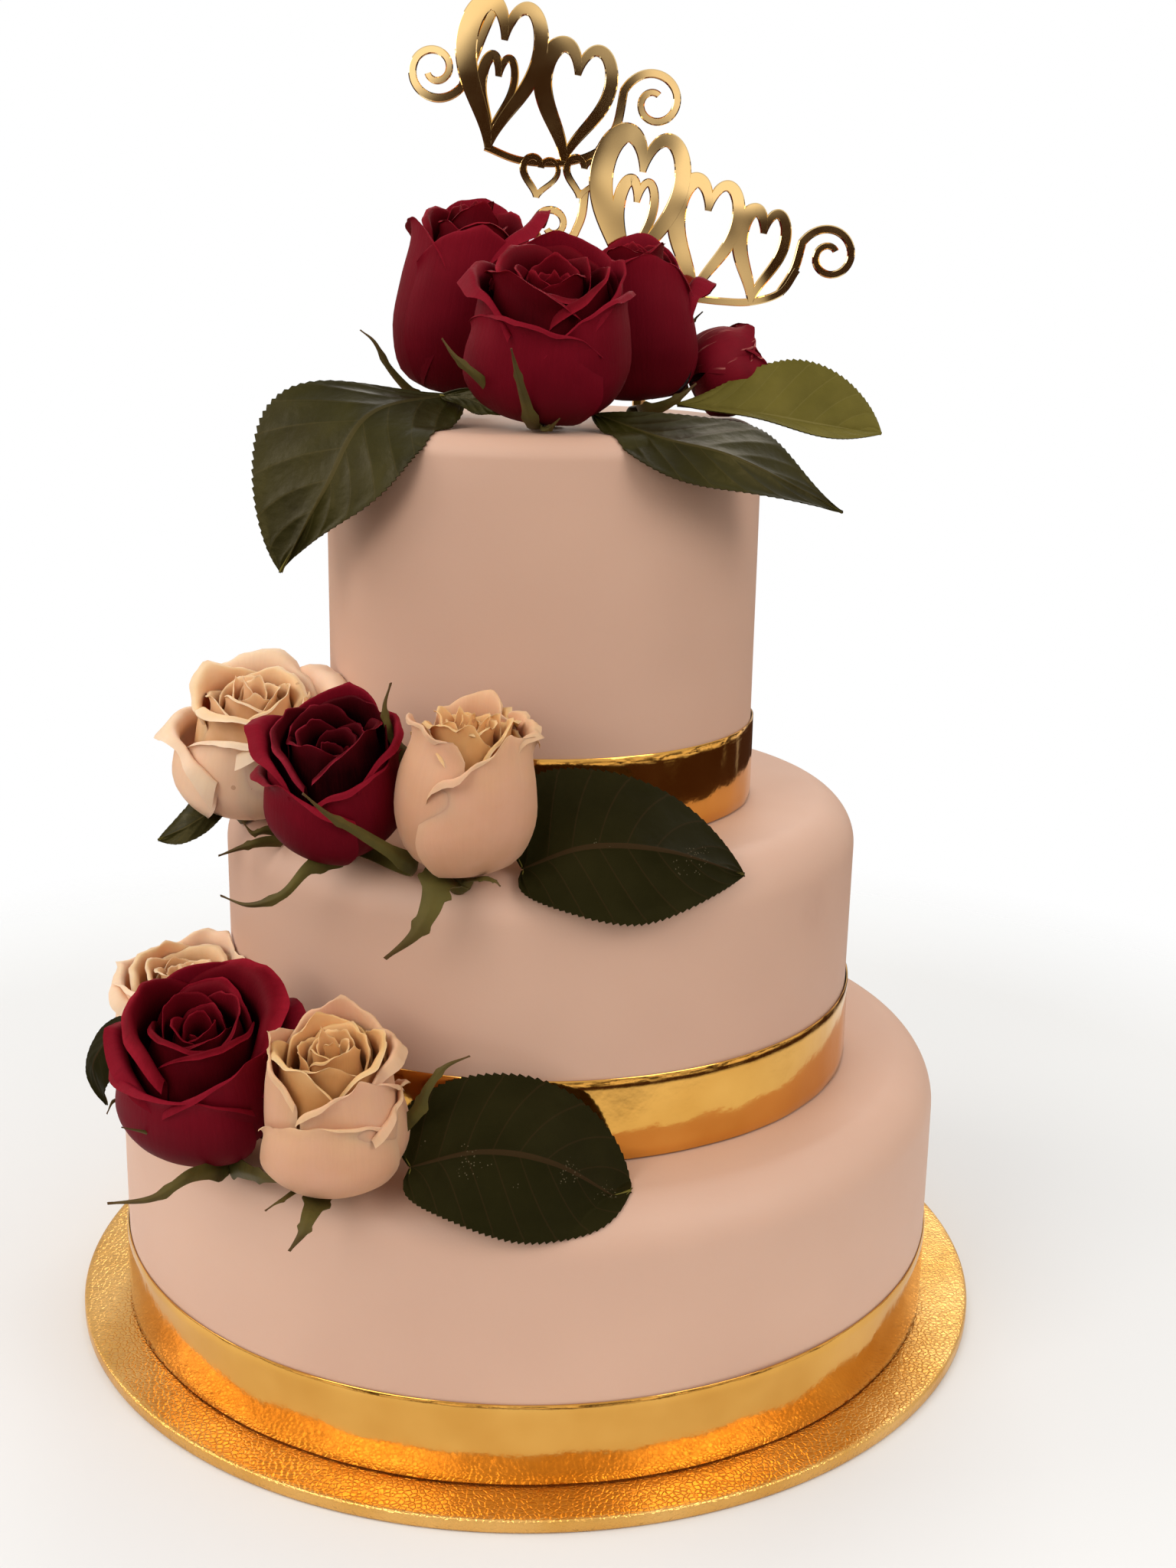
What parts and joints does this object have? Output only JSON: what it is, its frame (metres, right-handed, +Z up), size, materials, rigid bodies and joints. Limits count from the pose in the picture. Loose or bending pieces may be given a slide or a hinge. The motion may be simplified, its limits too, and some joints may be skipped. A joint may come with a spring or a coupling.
{
  "type": "tiered wedding cake",
  "caption": "Round stacked wedding cake in ivory fondant with gold bands, red and cream roses, green leaves and a gold heart topper, on its gold foil board.",
  "frame": {"origin": "centre of the round board's underside", "axes": "+Z up along the stack of tiers, -Y towards the decorated front that the flowers face, +X to the right as seen from the front"},
  "size_m": [0.3556, 0.3556, 0.4914],
  "materials": {
    "ivory_fondant": "satin matte sugar paste",
    "gold_foil_board": "embossed metallic foil over card",
    "gold_foil_ribbon": "mirror-bright foil ribbon",
    "gold_mirror_topper": "gold mirror acrylic",
    "dark_red_petal": "velvety petal",
    "cream_petal": "soft petal",
    "green_calyx": "matte leaf green",
    "rose_leaf": "waxy leaf, semi-gloss"
  },
  "bodies": {
    "root": {"board": "gold_foil_board", "calyx_bottom_back": "green_calyx", "calyx_bottom_front": "green_calyx", "calyx_bottom_red": "green_calyx", "calyx_middle_back": "green_calyx", "calyx_middle_front": "green_calyx", "calyx_middle_red": "green_calyx", "calyx_top_centre": "green_calyx", "calyx_top_left": "green_calyx", "calyx_top_right": "green_calyx", "calyx_top_side": "green_calyx", "leaf_bottom_front": "rose_leaf", "leaf_bottom_left": "rose_leaf", "leaf_middle_front": "rose_leaf", "leaf_middle_small": "rose_leaf", "leaf_top_front": "rose_leaf", "leaf_top_left": "rose_leaf", "leaf_top_right": "rose_leaf", "leaf_top_small": "rose_leaf", "ribbon_bottom": "gold_foil_ribbon", "ribbon_middle": "gold_foil_ribbon", "ribbon_top": "gold_foil_ribbon", "rose_bottom_back": "cream_petal", "rose_bottom_front": "cream_petal", "rose_bottom_red": "dark_red_petal", "rose_middle_back": "cream_petal", "rose_middle_front": "cream_petal", "rose_middle_red": "dark_red_petal", "rose_top_centre": "dark_red_petal", "rose_top_left": "dark_red_petal", "rose_top_right": "dark_red_petal", "rose_top_side": "dark_red_petal", "tier_bottom": "ivory_fondant", "tier_middle": "ivory_fondant", "tier_top": "ivory_fondant", "topper": "gold_mirror_topper"}
  },
  "joints": []
}
